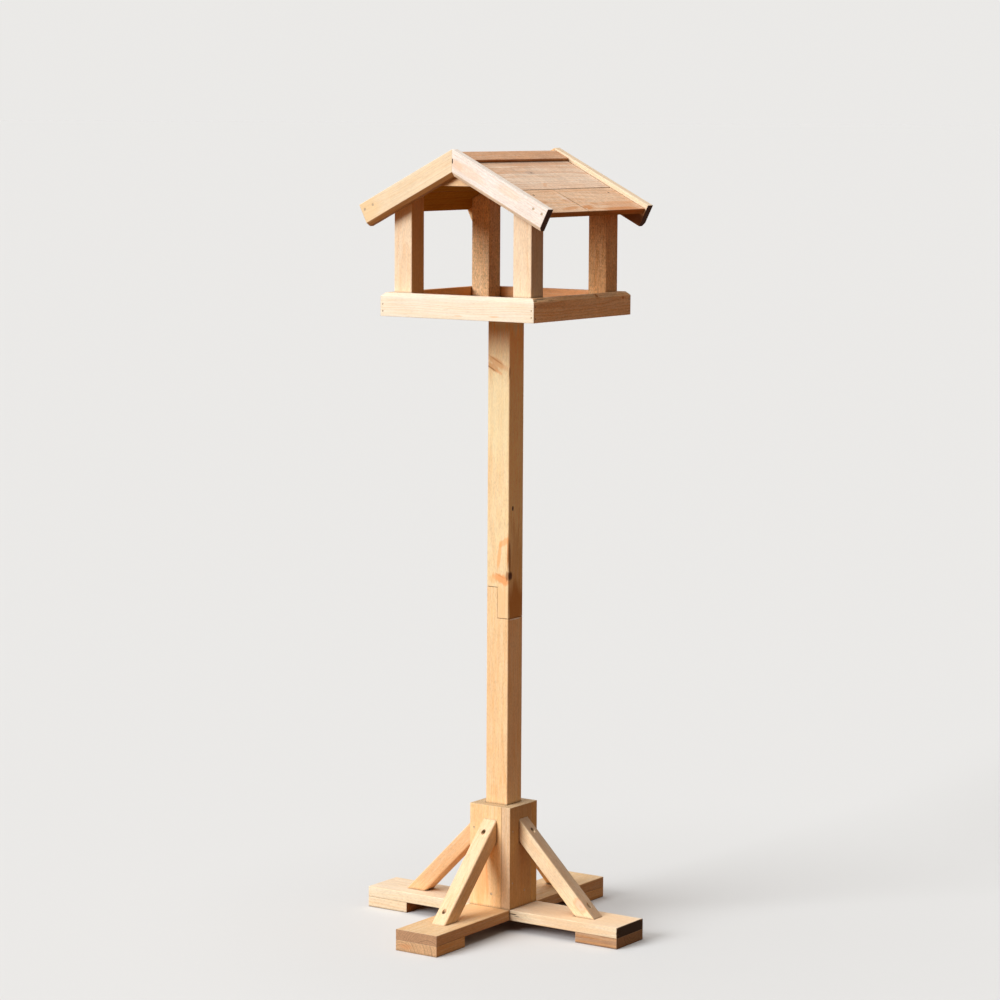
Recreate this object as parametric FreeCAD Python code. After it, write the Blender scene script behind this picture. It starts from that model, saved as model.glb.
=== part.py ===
import FreeCAD
import Part
import math
import os

# Free-standing wooden bird table, in millimetres. The origin is on the ground
# under the middle of the post, +Z is up, and the front gable faces -Y. A cross
# of two halved boards stands on four foot pads and carries a nailed socket with
# four braces. The post stands in the socket, in two lengths joined by a half
# lap, and carries a tray with bevelled rails. Four house posts stand in the
# tray's corners and carry the boarded roof.

V = FreeCAD.Vector

# Base: legs, pads, socket and braces
base_board = 18.0            # thickness of legs, pads and socket boards
leg_span = 514.0             # each leg board from tip to tip
pad_length = 82.0            # foot pad along its leg
socket_height = 176.5
socket_clearance = 1.5       # between the post and each socket board
brace_side = 28.0            # square brace stock
brace_height = 153.5         # rise of a brace's upper edge, and its run

# Post
post_side = 44.0
post_length = 1011.5         # from the cross up to the tray's underside
lap_start = 497.4            # lower shoulder of the half lap, above the post's foot
lap_length = 52.9

# Tray
tray_width = 308.0           # along X, outside the rails
tray_depth = 296.4           # along Y, outside the rails
rail_height = 39.5           # rails and bargeboards are cut from one moulding
rail_thickness = 16.0
rail_bevel = 6.2
bearer_thickness = 12.0
middle_bearer_width = 70.0
floor_thickness = 9.0
floor_boards = 3
drain_gap = 3.0              # between neighbouring floor boards

# House posts and roof
house_post_side = 36.0
house_height = 279.5         # from the tray's underside to the top of the gables
roof_pitch = 26.6            # degrees
roof_length = 322.5          # over both gables, along Y
verge_length = 211.0         # top edge of a bargeboard, from apex to eave
verge_stand = 7.5            # bargeboards stand this far above the roof boards
roof_board = 9.5
upper_board_reach = 130.7    # from the apex, down the slope, to the board joint
eave_setback = 2.5           # roof boards end this far short of the bargeboards
left_eave_extra = 2.5        # the left lower board reaches this much further
ridge_strip_reach = 33.7     # from the apex, down the slope
ridge_strip = 4.7            # thickness
butt_joint_place = -31.5     # along Y, where the short eave boards on the right meet
butt_joint_skew = 2.5        # half of how far that joint runs off square
gusset_thickness = 12.0
gusset_drop = 60.5           # from the apex down to the gusset's lower edge

# Fits and edges
joint_gap = 0.3              # side play in halvings and round the house posts
gusset_clearance = 1.35      # between a gusset and the line of the house posts
shoulder_gap = 0.8           # open line at the half lap's shoulders
board_gap = 1.0              # between roof boards
floor_clearance = 0.5        # between the floor and the rails
hole_clearance = 0.3         # round every nail and screw
soft_arris = 1.0             # sanded edges of boards
post_arris = 1.8
brace_arris = 3.0
head_sink = 0.3              # nail heads sit this far under the surface

# Open spot in the front mitre, near the apex
chip_height = 7.3
chip_width = 1.8
chip_depth = 9.0
chip_drop = 16.0             # from the apex down to its top

# Fasteners: shank, head and length
brad = dict(shank=1.4, head=2.0, head_height=0.8, length=24.0)
roof_nail = dict(shank=2.2, head=3.6, head_height=1.0, length=34.0)
socket_nail = dict(shank=2.0, head=3.0, head_height=1.0, length=34.0)
brace_screw = dict(shank=3.6, head=7.0, head_height=2.6, length=28.0)
lap_screw = dict(shank=3.6, head=7.6, head_height=2.6, length=36.0)
long_screw = dict(shank=4.5, head=8.6, head_height=3.0, length=60.0)
point_length = 2.0           # over the shank's width
point_end = 0.1              # width at a point's very end, over the shank's width
screw_slot_width = 1.1
screw_slot_depth = 1.3

# Where fasteners go
rail_pin_inset = 4.8         # from a tray corner
wide_rail_pins = (8.5, 20.0)      # heights above the tray's underside, front and back
side_rail_pins = (7.0, 26.0)      # the same, left and right
gable_nail_places = (7.4, 25.4)   # from a bargeboard's lower end
gusset_nail_place = 57.0     # from the apex, along a bargeboard
gusset_nail_depth = 26.0     # below the bargeboard's top edge
lap_screw_shares = (0.25, 0.75)   # of the lap's length
floor_nail_edge = 7.0        # from either edge of the middle bearer
tray_screw_inset = 11.0      # from the post's left and right faces
ridge_pin_shares = (-0.8, 0.0, 0.8)   # of half the roof board's length
ridge_pin_inset = 14.0       # from the ridge strip's lower edge
nail_grip = 0.8              # share of the second piece that a through nail enters
brace_screw_place = 19.5     # out from the box face, and in from the brace's toe
brace_screw_seat = 4.0       # depth of its counterbore
socket_nail_heights = (45.0, 135.0)
post_nail_height = 23.0      # above the legs
roof_nail_inset = 8.0        # from a house post's outer face
foot_nail_inset = 20.0       # from the ends and sides of a pad

# Sizes that follow from the ones above
pitch = math.radians(roof_pitch)
slope_run = math.cos(pitch)
slope_rise = math.sin(pitch)
leg_bottom = base_board
leg_top = leg_bottom + base_board
socket_inside = post_side + 2 * socket_clearance
socket_outside = socket_inside + 2 * base_board
leg_width = socket_outside
socket_top = leg_top + socket_height
post_foot = leg_top
tray_bottom = post_foot + post_length
floor_bottom = tray_bottom + bearer_thickness
floor_top = floor_bottom + floor_thickness
inside_width = tray_width - 2 * rail_thickness
inside_depth = tray_depth - 2 * rail_thickness
verge_inside = roof_length / 2 - rail_thickness
# the house posts stand in the tray's corners, or further in under a short roof
tray_corner = inside_depth / 2 - joint_gap
under_gable = verge_inside - gusset_thickness - gusset_clearance
house_x = inside_width / 2 - joint_gap - house_post_side / 2
house_y = min(tray_corner, under_gable) - house_post_side / 2
apex = tray_bottom + house_height
roof_top_down = verge_stand
roof_under_down = verge_stand + roof_board
roof_boards_end = verge_length - eave_setback

nodes = {}
holes = {}
sides = ("front", "right", "back", "left")
far = 3 * max(apex, leg_span) # reaches past everything


def rounded_outline(points, radius):
    """Closed wire through points in order, each corner eased by radius."""
    edges = []
    last = None
    first = None
    count = len(points)
    for i in range(count):
        corner = points[i]
        before = (points[i - 1] - corner).normalize()
        after = (points[(i + 1) % count] - corner).normalize()
        half_angle = before.getAngle(after) / 2
        reach = radius / math.tan(half_angle)
        start = corner + before * reach
        end = corner + after * reach
        bisector = (before + after).normalize()
        middle = corner + bisector * (radius / math.sin(half_angle) - radius)
        if last is None:
            first = start
        else:
            edges.append(Part.LineSegment(last, start).toShape())
        edges.append(Part.Arc(start, middle, end).toShape())
        last = end
    edges.append(Part.LineSegment(last, first).toShape())
    return Part.Wire(edges)


def block(x0, x1, y0, y1, z0, z1):
    return Part.makeBox(x1 - x0, y1 - y0, z1 - z0, V(x0, y0, z0))


def plank(along, x0, x1, y0, y1, z0, z1, radius=soft_arris):
    """A sawn board whose long edges, along one axis, are sanded round."""
    if along == "x":
        corners = [V(x0, y0, z0), V(x0, y1, z0), V(x0, y1, z1), V(x0, y0, z1)]
        travel = V(x1 - x0, 0, 0)
    elif along == "y":
        corners = [V(x0, y0, z0), V(x1, y0, z0), V(x1, y0, z1), V(x0, y0, z1)]
        travel = V(0, y1 - y0, 0)
    else:
        corners = [V(x0, y0, z0), V(x1, y0, z0), V(x1, y1, z0), V(x0, y1, z0)]
        travel = V(0, 0, z1 - z0)
    return Part.Face(rounded_outline(corners, radius)).extrude(travel)


def turned(shape, quarters):
    copy = shape.copy()
    copy.rotate(V(0, 0, 0), V(0, 0, 1), 90 * quarters)
    return copy


def turned_point(point, quarters):
    return FreeCAD.Rotation(V(0, 0, 1), 90 * quarters).multVec(point)


def mirrored(shape, axis):
    normal = V(1, 0, 0) if axis == "x" else V(0, 1, 0)
    return shape.mirror(V(0, 0, 0), normal)


def on_slope(shape):
    """From slope axes (x down the right slope, z square to it) to the apex."""
    copy = shape.copy()
    copy.rotate(V(0, 0, 0), V(0, 1, 0), roof_pitch)
    copy.translate(V(0, 0, apex))
    return copy


def slope_point(down_slope, along_y, depth, sign):
    """A point on a slope, depth below the line of the bargeboards' tops."""
    x = down_slope * slope_run - depth * slope_rise
    z = apex - down_slope * slope_rise - depth * slope_run
    return V(sign * x, along_y, z)


def right_half(shape, gap=0.0):
    """Keep what lies on the +X side of the ridge's middle plane."""
    return shape.common(block(gap, far, -far, far, -far, far))


def add(name, shape):
    nodes[name] = shape
    holes[name] = []


def turn_towards(shape, point, direction):
    """Move a fastener drawn with its head at the origin, pointing down."""
    copy = shape.copy()
    copy.Placement = FreeCAD.Placement(point, FreeCAD.Rotation(V(0, 0, -1), direction))
    return copy


def shank_and_point(size, extra):
    radius = size["shank"] / 2 + extra
    tip = point_length * size["shank"]
    low = -size["length"] - extra
    shank = Part.makeCylinder(radius, -low - tip, V(0, 0, low + tip))
    point = Part.makeCone(point_end * radius, radius, tip, V(0, 0, low))
    return shank.fuse(point)


def nail_shape(size, extra=0.0):
    head = size["head"] / 2 + extra
    depth = size["head_height"] + extra
    cap = Part.makeCylinder(head, depth, V(0, 0, -depth))
    return shank_and_point(size, extra).fuse(cap)


def screw_shape(size, extra=0.0):
    """Countersunk screw with a cross recess, or the plain form of its hole."""
    head = size["head"] / 2 + extra
    depth = size["head_height"] + extra
    cap = Part.makeCone(size["shank"] / 2 + extra, head, depth, V(0, 0, -depth))
    screw = shank_and_point(size, extra).fuse(cap)
    if extra:
        return screw
    reach = size["head"] / 4
    half = screw_slot_width / 2
    slot = block(-reach, reach, -half, half, -screw_slot_depth, 1)
    return screw.cut(slot.fuse(turned(slot, 1)))


def drive(group, make, size, point, direction, through, sink=head_sink):
    """Sink one nail or screw under point, and note its hole in each piece."""
    aim = V(direction).normalize()
    seat = point + aim * sink
    way_in = sink + size["head"]
    mouth = size["head"] / 2 + hole_clearance
    tool = turn_towards(make(size, hole_clearance), seat, aim)
    tool = tool.fuse(Part.makeCylinder(mouth, way_in, seat - aim * way_in, aim))
    nodes.setdefault(group, []).append(turn_towards(make(size), seat, aim))
    for name in through:
        holes[name].append(tool)


def legs_and_pads():
    half = leg_width / 2
    tip = leg_span / 2
    middle = (leg_bottom + leg_top) / 2
    notch = half + joint_gap
    long_x = plank("x", -tip, tip, -half, half, leg_bottom, leg_top)
    long_y = plank("y", -half, half, -tip, tip, leg_bottom, leg_top)
    add("leg_left_right", long_x.cut(block(-notch, notch, -far, far, middle, far)))
    add("leg_front_back", long_y.cut(block(-far, far, -notch, notch, -far, middle)))
    pad = plank("y", -half, half, -tip, pad_length - tip, 0, leg_bottom)
    across = half - foot_nail_inset
    nails = [(-across, foot_nail_inset - tip), (across, pad_length - foot_nail_inset - tip)]
    for i, side in enumerate(sides):
        add("foot_pad_" + side, turned(pad, i))
        for x, y in nails:
            drive("foot_pad_nails", nail_shape, brad, turned_point(V(x, y, 0), i), V(0, 0, 1),
                  ["foot_pad_" + side, leg_of(side)])


def leg_of(side):
    return "leg_front_back" if side in ("front", "back") else "leg_left_right"


def socket():
    outer = socket_outside / 2
    inner = socket_inside / 2
    middle = (outer + inner) / 2
    board = plank("z", -outer, inner, -outer, -inner, leg_top, socket_top)
    for i, side in enumerate(sides):
        add("socket_board_" + side, turned(board, i))
    for i, side in enumerate(sides):
        name = "socket_board_" + side
        before = "socket_board_" + sides[i - 1]
        for height in socket_nail_heights:
            place = turned_point(V(-middle, -outer, leg_top + height), i)
            drive("socket_nails", nail_shape, socket_nail, place, turned_point(V(0, 1, 0), i),
                  [name, before])
        foot = turned_point(V(-inner / 2, -middle, leg_bottom), i)
        drive("socket_screws", screw_shape, long_screw, foot, V(0, 0, 1),
              ["leg_left_right", "leg_front_back", name])


def braces():
    face = socket_outside / 2
    half = brace_side / 2
    length = 2 * brace_height
    stock = plank("y", -half, half, -length, length, -brace_side, 0, brace_arris)
    stock.rotate(V(0, 0, 0), V(1, 0, 0), 45)
    stock.translate(V(0, -face, leg_top + brace_height))
    brace = stock.common(block(-far, far, -far, -face, leg_top, far))
    out = brace_screw_place
    for i, side in enumerate(sides):
        name = "brace_" + side
        add(name, turned(brace, i))
        top = turned_point(V(0, -face - out, leg_top + brace_height - out), i)
        toe = turned_point(V(0, out - face - brace_height, leg_top + out), i)
        drive("brace_screws", screw_shape, brace_screw, top, turned_point(V(0, 1, 0), i),
              [name, "socket_board_" + side], brace_screw_seat)
        drive("brace_screws", screw_shape, brace_screw, toe, V(0, 0, -1),
              [name, leg_of(side)], brace_screw_seat)


def post():
    half = post_side / 2
    lap_bottom = post_foot + lap_start
    lap_top = lap_bottom + lap_length
    stick = plank("z", -half, half, -half, half, post_foot, tray_bottom, post_arris)
    cheek = joint_gap / 2
    below = block(-far, far, -far, far, -far, lap_bottom)
    tongue = block(-far, -cheek, -far, far, post_foot, lap_top)
    add("post_lower", stick.common(below.fuse(tongue)))
    above = block(-far, far, -far, far, lap_top + shoulder_gap, far)
    upper_tongue = block(cheek, far, -far, far, lap_bottom + shoulder_gap, far)
    add("post_upper", stick.common(above.fuse(upper_tongue)))
    for share in lap_screw_shares:
        place = V(-half, 0, lap_bottom + share * lap_length)
        drive("lap_screws", screw_shape, lap_screw, place, V(1, 0, 0), ["post_lower", "post_upper"])
    for i, side in enumerate(sides):
        height = leg_top + post_nail_height + i * roof_nail["head"]
        place = turned_point(V(roof_nail["head"], -socket_outside / 2, height), i)
        drive("post_foot_nails", nail_shape, roof_nail, place, turned_point(V(0, 1, 0), i),
              ["socket_board_" + side, "post_lower"])


def moulding(x0, x1):
    """Rail stock along X: outer face on y = 0, upper outer edge bevelled."""
    outline = [V(x0, 0, 0), V(x0, rail_thickness, 0), V(x0, rail_thickness, rail_height),
               V(x0, rail_bevel, rail_height), V(x0, 0, rail_height - rail_bevel)]
    return Part.Face(rounded_outline(outline, 0.5 * soft_arris)).extrude(V(x1 - x0, 0, 0))


def mitred_rail(length):
    half = length / 2
    stock = moulding(-half, half)
    corners = [V(-half, 0, 0), V(half, 0, 0), V(0, half, 0), V(-half, 0, 0)]
    keep = Part.Face(Part.makePolygon(corners)).extrude(V(0, 0, rail_height))
    return stock.common(keep)


def tray_rails():
    for i, side in enumerate(sides):
        length, offset, heights = rail_place(side)
        rail = mitred_rail(length)
        rail.translate(V(0, -offset, tray_bottom))
        add("tray_rail_" + side, turned(rail, i))
    for i, side in enumerate(sides):
        length, offset, heights = rail_place(side)
        for end in (-1, 1):
            pieces = ["tray_rail_" + side, "tray_rail_" + sides[(i + end) % len(sides)]]
            for height in heights:
                x = end * (length / 2 - rail_pin_inset)
                place = turned_point(V(x, -offset, tray_bottom + height), i)
                drive("tray_rail_pins", nail_shape, brad, place, turned_point(V(0, 1, 0), i), pieces)


def rail_place(side):
    """A rail's length, how far out it stands, and the heights of its pins."""
    if side in ("front", "back"):
        return tray_width, tray_depth / 2, wide_rail_pins
    return tray_depth, tray_width / 2, side_rail_pins


def tray_floor():
    half_length = inside_depth / 2 - floor_clearance
    half_side = house_post_side / 2
    half_middle = middle_bearer_width / 2
    for name, middle, half in (("left", -house_x, half_side), ("middle", 0, half_middle),
                               ("right", house_x, half_side)):
        add("tray_bearer_" + name, plank("y", middle - half, middle + half, -half_length,
                                         half_length, tray_bottom, floor_bottom))
    reach = inside_width / 2 - floor_clearance
    step = (2 * half_length + drain_gap) / floor_boards
    width = step - drain_gap
    nail = dict(brad, length=floor_thickness + nail_grip * bearer_thickness)
    near_edge = half_middle - floor_nail_edge
    nails = ((-house_x, "left"), (-near_edge, "middle"), (near_edge, "middle"), (house_x, "right"))
    for i in range(floor_boards):
        start = i * step - half_length
        name = "floor_board_%d" % (i + 1)
        add(name, plank("x", -reach, reach, start, start + width, floor_bottom, floor_top))
        for x, bearer in nails:
            drive("floor_nails", nail_shape, nail, V(x, start + width / 2, floor_top), V(0, 0, -1),
                  [name, "tray_bearer_" + bearer])
    middle_board = "floor_board_%d" % ((floor_boards + 1) // 2)
    from_middle = post_side / 2 - tray_screw_inset
    for x in (-from_middle, from_middle):
        drive("tray_screws", screw_shape, long_screw, V(x, 0, floor_top), V(0, 0, -1),
              [middle_board, "tray_bearer_middle", "post_upper"])


def house_posts():
    half = house_post_side / 2
    under_roof = on_slope(block(-far, far, -far, far, -far, -roof_under_down))
    front = plank("z", house_x - half, house_x + half, -house_y - half, half - house_y,
                  floor_top, apex, post_arris).common(under_roof)
    back = mirrored(front, "y")
    for end, stick, y in (("front", front, -house_y), ("back", back, house_y)):
        board = "floor_board_1" if end == "front" else "floor_board_%d" % floor_boards
        for side, sign in (("right", 1), ("left", -1)):
            name = "house_post_%s_%s" % (end, side)
            add(name, stick if side == "right" else mirrored(stick, "x"))
            drive("house_post_screws", screw_shape, long_screw, V(sign * house_x, y, tray_bottom),
                  V(0, 0, 1), ["tray_bearer_" + side, board, name])


def eave_board_at(end, side):
    return "eave_board_left" if side == "left" else "eave_board_right_" + end


def roof_boards():
    near = -verge_inside
    end = verge_inside
    top = -roof_top_down
    bottom = -roof_under_down
    joint = upper_board_reach
    upper = plank("y", -2 * roof_board, joint - board_gap / 2, near, end, bottom, top)
    upper = right_half(on_slope(upper), joint_gap / 2)
    add("roof_board_right", upper)
    add("roof_board_left", mirrored(upper, "x"))
    lower = plank("y", joint + board_gap / 2, roof_boards_end, near, end, bottom, top)
    left = plank("y", joint + board_gap / 2, roof_boards_end + left_eave_extra, near, end, bottom, top)
    add("eave_board_left", mirrored(on_slope(left), "x"))
    width = roof_boards_end - joint
    skew = math.degrees(math.atan2(2 * butt_joint_skew, width))
    for name, y0, y1 in (("front", -far, -board_gap / 4), ("back", board_gap / 4, far)):
        keep = block(-far, far, y0, y1, -far, far)
        keep.rotate(V(0, 0, 0), V(0, 0, 1), skew)
        keep.translate(V(joint + width / 2, butt_joint_place, 0))
        add("eave_board_right_" + name, on_slope(lower.common(keep)))
    start = roof_top_down * math.tan(pitch)
    strip = plank("y", start, ridge_strip_reach, near, end, top, top + ridge_strip, soft_arris)
    add("ridge_strip_right", on_slope(strip))
    add("ridge_strip_left", mirrored(on_slope(strip), "x"))


def roof_fixings():
    """Nails over the house posts and brads along the ridge strips."""
    nail_line = house_x + house_post_side / 2 - roof_nail_inset
    nail_reach = (nail_line + roof_top_down * slope_rise) / slope_run
    pin = dict(brad, length=ridge_strip + nail_grip * roof_board)
    pin_reach = ridge_strip_reach - ridge_pin_inset
    for side, sign in (("right", 1), ("left", -1)):
        into = V(-sign * slope_rise, 0, -slope_run)
        for end, y in (("front", -house_y), ("back", house_y)):
            place = slope_point(nail_reach, y, roof_top_down, sign)
            drive("roof_nails", nail_shape, roof_nail, place, into,
                  [eave_board_at(end, side), "house_post_%s_%s" % (end, side)])
        for share in ridge_pin_shares:
            place = slope_point(pin_reach, share * verge_inside, roof_top_down - ridge_strip, sign)
            drive("ridge_strip_pins", nail_shape, pin, place, into,
                  ["ridge_strip_" + side, "roof_board_" + side])


def gables():
    verge = moulding(-rail_height, verge_length)
    verge = verge.mirror(V(0, 0, 0), V(0, 0, 1))
    verge.translate(V(0, -roof_length / 2, 0))
    verge = right_half(on_slope(verge))
    chip = block(0, chip_width, -far, chip_depth - roof_length / 2,
                 apex - chip_drop - chip_height, apex - chip_drop)
    add("bargeboard_front_right", verge.cut(chip))
    add("bargeboard_front_left", mirrored(verge, "x"))
    add("bargeboard_back_right", mirrored(verge, "y"))
    add("bargeboard_back_left", mirrored(mirrored(verge, "x"), "y"))
    low = apex - gusset_drop
    tip = apex - roof_under_down / slope_run
    reach = (tip - low) / math.tan(pitch)
    near = -verge_inside
    corners = [V(-reach, near, low), V(reach, near, low), V(0, near, tip), V(-reach, near, low)]
    gusset = Part.Face(Part.makePolygon(corners)).extrude(V(0, gusset_thickness, 0))
    add("gusset_front", gusset)
    add("gusset_back", mirrored(gusset, "y"))


def gable_fixings():
    """Nails from the bargeboards into the roof boards' ends, and from the gussets into them."""
    middle_depth = (roof_top_down + roof_under_down) / 2
    gusset_brad = dict(brad, length=gusset_thickness + nail_grip * rail_thickness)
    for end, out in (("front", -1), ("back", 1)):
        y = out * roof_length / 2
        into = V(0, -out, 0)
        for side, sign in (("right", 1), ("left", -1)):
            board = "bargeboard_%s_%s" % (end, side)
            for from_end in gable_nail_places:
                place = slope_point(verge_length - from_end, y, middle_depth, sign)
                drive("bargeboard_nails", nail_shape, roof_nail, place, into,
                      [board, eave_board_at(end, side)])
            inside = out * (verge_inside - gusset_thickness)
            place = slope_point(gusset_nail_place, inside, gusset_nail_depth, sign)
            drive("gusset_nails", nail_shape, gusset_brad, place, -into, ["gusset_" + end, board])


def finish():
    """Drill every piece, then write one file per node."""
    os.makedirs("parts", exist_ok=True)
    for name, shape in nodes.items():
        if name not in holes:
            result = Part.makeCompound(shape)
        else:
            result = shape.cut(holes[name]) if holes[name] else shape
            result = result.Solids[0]
        print("%-24s solids %2d  volume %9.0f" % (name, len(result.Solids), result.Volume))
        result.exportStep("parts/%s.step" % name)


legs_and_pads()
socket()
braces()
post()
tray_rails()
tray_floor()
house_posts()
roof_boards()
roof_fixings()
gables()
gable_fixings()
finish()
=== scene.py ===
import bpy
import math
from mathutils import Matrix, Vector


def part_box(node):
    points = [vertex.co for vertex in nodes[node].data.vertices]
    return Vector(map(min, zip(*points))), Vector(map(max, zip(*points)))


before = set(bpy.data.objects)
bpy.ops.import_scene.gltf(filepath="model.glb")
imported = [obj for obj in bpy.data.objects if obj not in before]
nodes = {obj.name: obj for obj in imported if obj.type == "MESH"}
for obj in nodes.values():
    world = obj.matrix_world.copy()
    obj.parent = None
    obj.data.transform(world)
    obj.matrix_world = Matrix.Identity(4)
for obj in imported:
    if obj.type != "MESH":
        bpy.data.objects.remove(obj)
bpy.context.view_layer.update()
scene = bpy.context.scene
scene.view_settings.view_transform = "Standard"

up = Vector((0, 0, 1))
front = Vector((0, -1, 0))
back = Vector((0, 1, 0))
right = Vector((1, 0, 0))
left = Vector((-1, 0, 0))
outward = {"front": front, "back": back, "left": left, "right": right}
mm = 0.001


def linear(hexColor):
    # sRGB hex to the linear colour that a shader wants
    parts = [int(hexColor[i:i + 2], 16) / 255 for i in (0, 2, 4)]
    return [c / 12.92 if c <= 0.04045 else ((c + 0.055) / 1.055) ** 2.4 for c in parts] + [1.0]


def put(tree, kind, feeds=None, values=None, **settings):
    # adds one node: feeds are links into its sockets, values are their plain settings. It
    # gives back the node's output, or the node itself where several outputs are in use.
    node = tree.nodes.new("ShaderNode" + kind)
    for name, value in settings.items():
        setattr(node, name, value)
    for socket, value in (values or {}).items():
        node.inputs[socket].default_value = value
    for socket, source in (feeds or {}).items():
        tree.links.new(source, node.inputs[socket])
    live = [socket for socket in node.outputs if socket.enabled]
    return live[0] if len(live) == 1 else node


def newGroup(name, inputs, outputs):
    # a node group, with what its inputs give inside it and what its outputs take
    group = bpy.data.node_groups.new(name, "ShaderNodeTree")
    for title, kind in inputs:
        group.interface.new_socket(name=title, in_out="INPUT", socket_type="NodeSocket" + kind)
    for title, kind in outputs:
        group.interface.new_socket(name=title, in_out="OUTPUT", socket_type="NodeSocket" + kind)
    inside = group.nodes.new("NodeGroupInput")
    outside = group.nodes.new("NodeGroupOutput")
    return group, inside.outputs, outside.inputs


# Growth rings of a fast-grown softwood. Place is in millimetres from the pith, with
# the grain along Z. The pith wanders along the board, which draws the flames on flat
# sawn faces, and every ring ends in a thin hard line of summer wood.
rings = {
    "wander": 16.0, "wanderPerMm": 0.0032,      # how far the pith drifts, in mm, and how quickly
    "wobble": 2.6, "wobblePerMm": 0.035, "wobbleStretch": 0.14,
    "uneven": 2.4, "unevenPerMm": 0.11,         # wide years and narrow ones
    "summerStart": 0.3, "summerFull": 0.9, "summerEnd": 0.985,  # shares of a year's width
    "palestYear": 0.35,
}

ringGroup, place, made = newGroup(
    "softwoodRings", [("Place", "Vector"), ("Seed", "Float"), ("Width", "Float"), ("Bend", "Float")],
    [("Summer", "Float")])
tree = ringGroup
alongOnly = put(tree, "VectorMath", {0: place["Place"]}, {1: (0, 0, rings["wanderPerMm"])},
                operation="MULTIPLY")
drift = put(tree, "TexNoise", {"Vector": alongOnly, "W": place["Seed"]}, {"Scale": 1.0, "Detail": 1.0},
            noise_dimensions="4D").outputs["Color"]
drift = put(tree, "VectorMath", {0: drift}, {1: (0.5, 0.5, 0.5)}, operation="SUBTRACT")
drift = put(tree, "VectorMath", {0: drift}, {1: (rings["wander"] * 2, rings["wander"] * 2, 0)},
            operation="MULTIPLY")
across = put(tree, "VectorMath", {0: place["Place"]}, {1: (1, 1, 0)}, operation="MULTIPLY")
across = put(tree, "VectorMath", {0: across, 1: drift}, operation="ADD")
radius = put(tree, "VectorMath", {0: across}, operation="LENGTH")
stretched = put(tree, "VectorMath", {0: place["Place"]}, {1: (1, 1, rings["wobbleStretch"])},
                operation="MULTIPLY")
wobble = put(tree, "TexNoise", {"Vector": stretched, "W": place["Seed"]},
             {"Scale": rings["wobblePerMm"], "Detail": 2.0}, noise_dimensions="4D").outputs["Fac"]
wobble = put(tree, "Math", {0: wobble}, {1: 0.5}, operation="SUBTRACT")
radius = put(tree, "Math", {0: wobble, 2: radius}, {1: rings["wobble"] * 2}, operation="MULTIPLY_ADD")
uneven = put(tree, "TexNoise", {"W": radius}, {"Scale": rings["unevenPerMm"], "Detail": 1.0},
             noise_dimensions="1D").outputs["Fac"]
phase = put(tree, "Math", {0: radius, 1: place["Width"]}, operation="DIVIDE")
phase = put(tree, "Math", {0: uneven, 2: phase}, {1: rings["uneven"]}, operation="MULTIPLY_ADD")
phase = put(tree, "Math", {0: phase, 1: place["Bend"]}, operation="ADD")
year = put(tree, "Math", {0: phase}, operation="FLOOR")
season = put(tree, "Math", {0: phase}, operation="FRACT")
rise = put(tree, "MapRange", {"Value": season},
           {"From Min": rings["summerStart"], "From Max": rings["summerFull"]},
           interpolation_type="SMOOTHSTEP")
fall = put(tree, "MapRange", {"Value": season},
           {"From Min": rings["summerFull"], "From Max": rings["summerEnd"], "To Min": 1.0, "To Max": 0.0})
strength = put(tree, "TexWhiteNoise", {"W": year}, noise_dimensions="1D").outputs["Value"]
strength = put(tree, "MapRange", {"Value": strength}, {"To Min": rings["palestYear"]})
summer = put(tree, "Math", {0: rise, 1: fall}, operation="MULTIPLY")
summer = put(tree, "Math", {0: summer, 1: rise}, operation="MULTIPLY")
summer = put(tree, "Math", {0: summer, 1: strength}, operation="MULTIPLY")
tree.links.new(summer, made["Summer"])

# A branch knot: a round plug along the board's depth, longer with the grain. Bend
# pushes the growth rings round it.
knotForm = {"squeeze": (1.0, 0.1, 0.68),        # across, deep and along the grain
            "raggedPerMm": 0.16, "ragged": (0.62, 1.38), "core": (0.8, 1.05), "rim": (0.6, 0.95, 1.2),
            "haloFade": -0.28, "rings": 4.5}

knotGroup, place, made = newGroup(
    "branchKnot", [("Place", "Vector"), ("Centre", "Vector"), ("Size", "Float"), ("Seed", "Float")],
    [("Wood", "Float"), ("Rim", "Float"), ("Halo", "Float"), ("Rings", "Float")])
tree = knotGroup
offset = put(tree, "VectorMath", {0: place["Place"], 1: place["Centre"]}, operation="SUBTRACT")
offset = put(tree, "VectorMath", {0: offset}, {1: knotForm["squeeze"]}, operation="MULTIPLY")
ragged = put(tree, "TexNoise", {"Vector": offset, "W": place["Seed"]},
             {"Scale": knotForm["raggedPerMm"], "Detail": 3.0}, noise_dimensions="4D").outputs["Fac"]
ragged = put(tree, "MapRange", {"Value": ragged},
             {"To Min": knotForm["ragged"][0], "To Max": knotForm["ragged"][1]})
smooth = put(tree, "VectorMath", {0: offset}, operation="LENGTH")
smooth = put(tree, "Math", {0: smooth, 1: place["Size"]}, operation="DIVIDE")
reach = put(tree, "Math", {0: smooth, 1: ragged}, operation="MULTIPLY")
plug = put(tree, "MapRange", {"Value": reach},
           {"From Min": knotForm["core"][0], "From Max": knotForm["core"][1], "To Min": 1.0, "To Max": 0.0},
           interpolation_type="SMOOTHSTEP")
rimIn = put(tree, "MapRange", {"Value": reach},
            {"From Min": knotForm["rim"][0], "From Max": knotForm["rim"][1]},
            interpolation_type="SMOOTHSTEP")
rimOut = put(tree, "MapRange", {"Value": reach},
             {"From Min": knotForm["rim"][1], "From Max": knotForm["rim"][2], "To Min": 1.0, "To Max": 0.0},
             interpolation_type="SMOOTHSTEP")
rim = put(tree, "Math", {0: rimIn, 1: rimOut}, operation="MULTIPLY")
halo = put(tree, "Math", {0: smooth, 1: smooth}, operation="MULTIPLY")
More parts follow.
